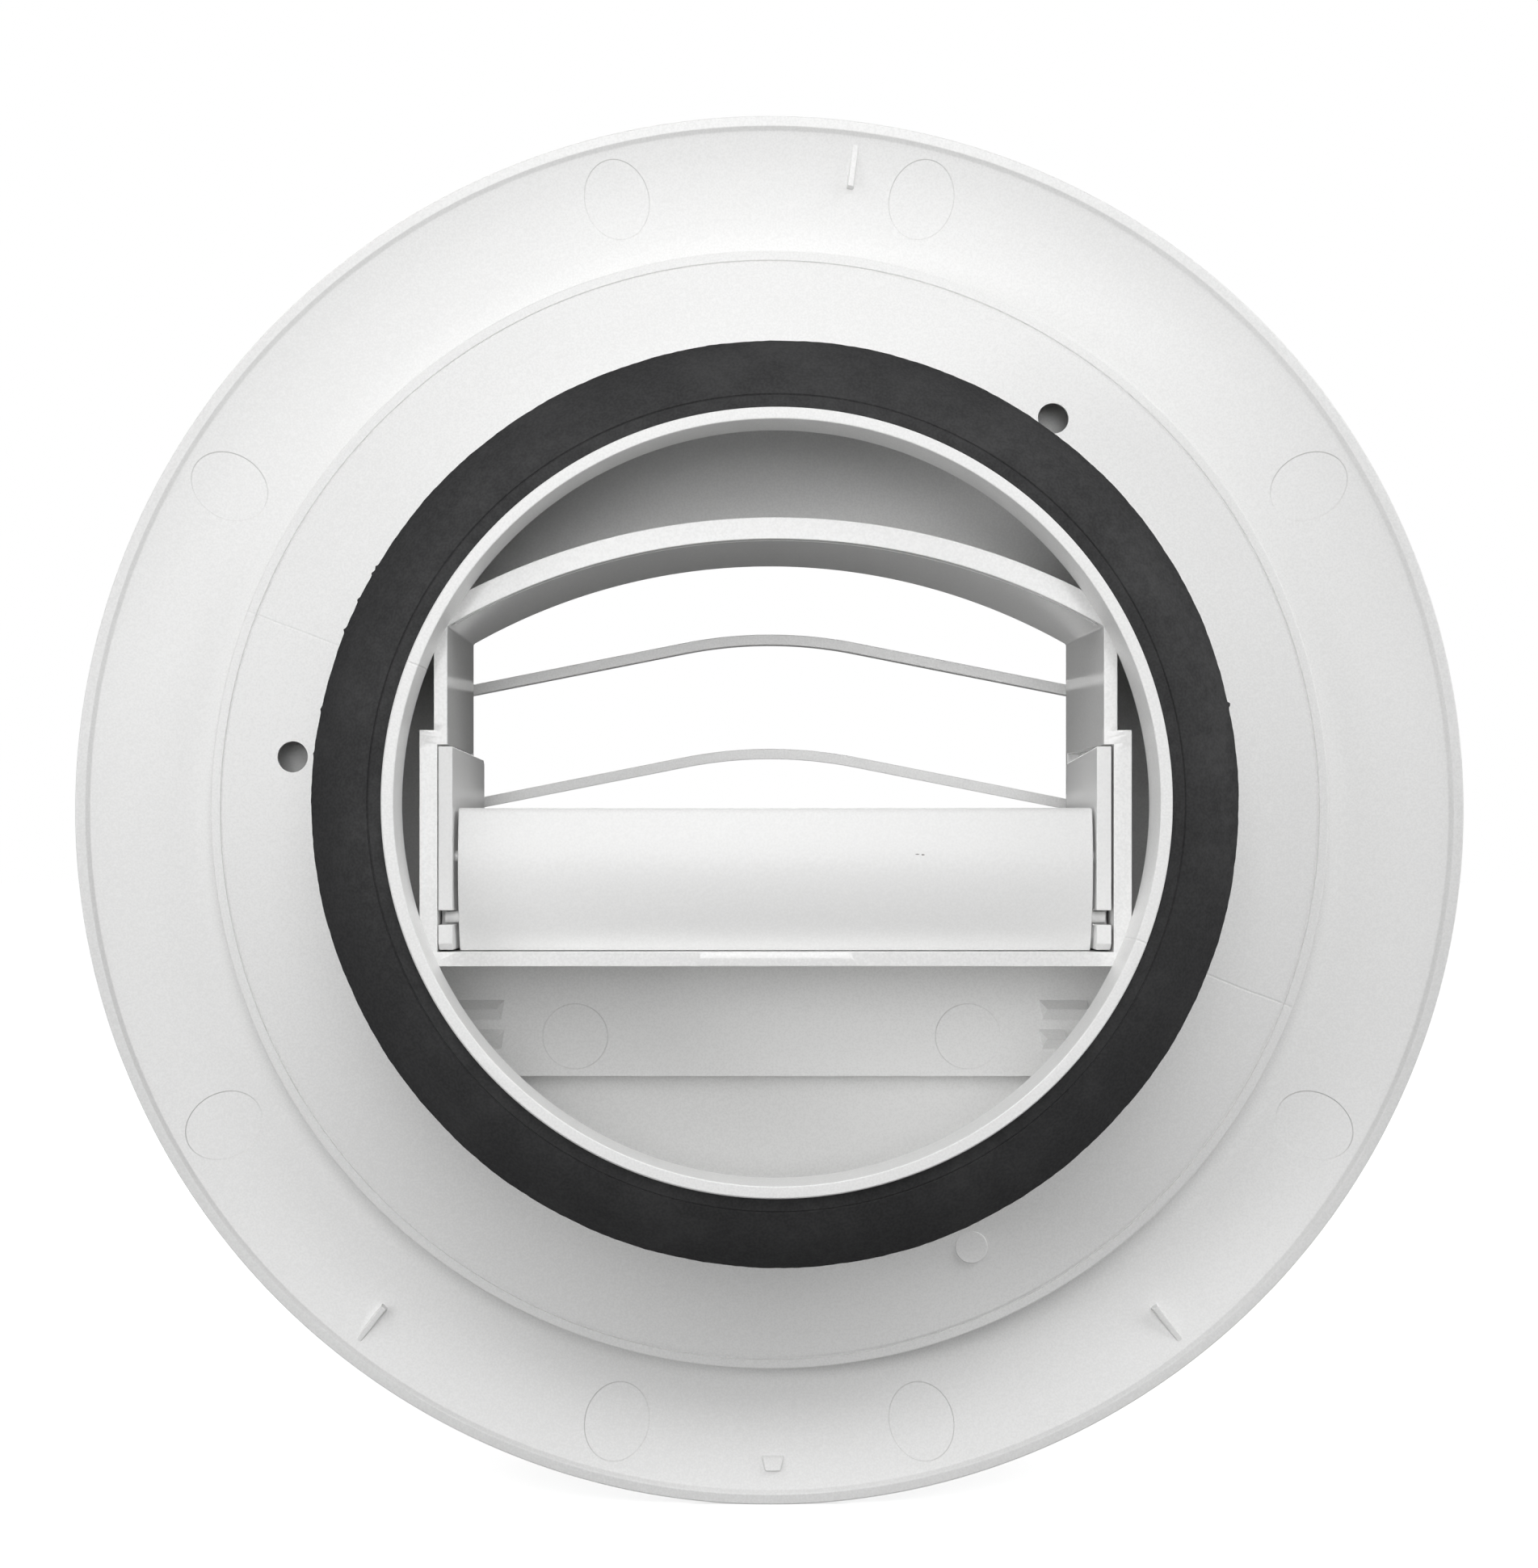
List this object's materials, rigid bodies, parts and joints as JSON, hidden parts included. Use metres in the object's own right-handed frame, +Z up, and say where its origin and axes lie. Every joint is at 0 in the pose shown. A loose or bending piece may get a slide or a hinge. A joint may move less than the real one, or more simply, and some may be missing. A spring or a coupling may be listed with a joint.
{
  "type": "constant volume extract grille",
  "caption": "Round white wall grille with a saucer front, an arched air tunnel, a self-regulating flap and a rubber lip seal round its duct spigot.",
  "frame": {"origin": "centre of the grille's axis on the wall plane, the plane of the flat seat round the spigot", "axes": "+Y along the spigot's axis into the duct, -Y towards the room, +Z up"},
  "size_m": [0.1764, 0.0516, 0.1764],
  "materials": {
    "white_plastic": "semi-gloss moulded polystyrene, off-white",
    "regulator_plastic": "smooth white moulded polystyrene",
    "black_rubber": "matt black moulded elastomer"
  },
  "bodies": {
    "grille": {"spigot_body": "white_plastic", "duct_seal": "black_rubber", "regulator_frame": "regulator_plastic"},
    "cover": {"front_cover": "white_plastic"},
    "flap": {"regulator_flap": "regulator_plastic"}
  },
  "joints": [
    {"name": "cover_pull", "type": "slide", "parent": "grille", "child": "cover", "axis": [0, -1, 0], "range_m": [0, 0.03]},
    {"name": "flap_turn", "type": "hinge", "parent": "grille", "child": "flap", "pos_m": [0, 0.0298, -0.0126], "axis": [-1, 0, 0], "range_deg": [0, 32]}
  ]
}
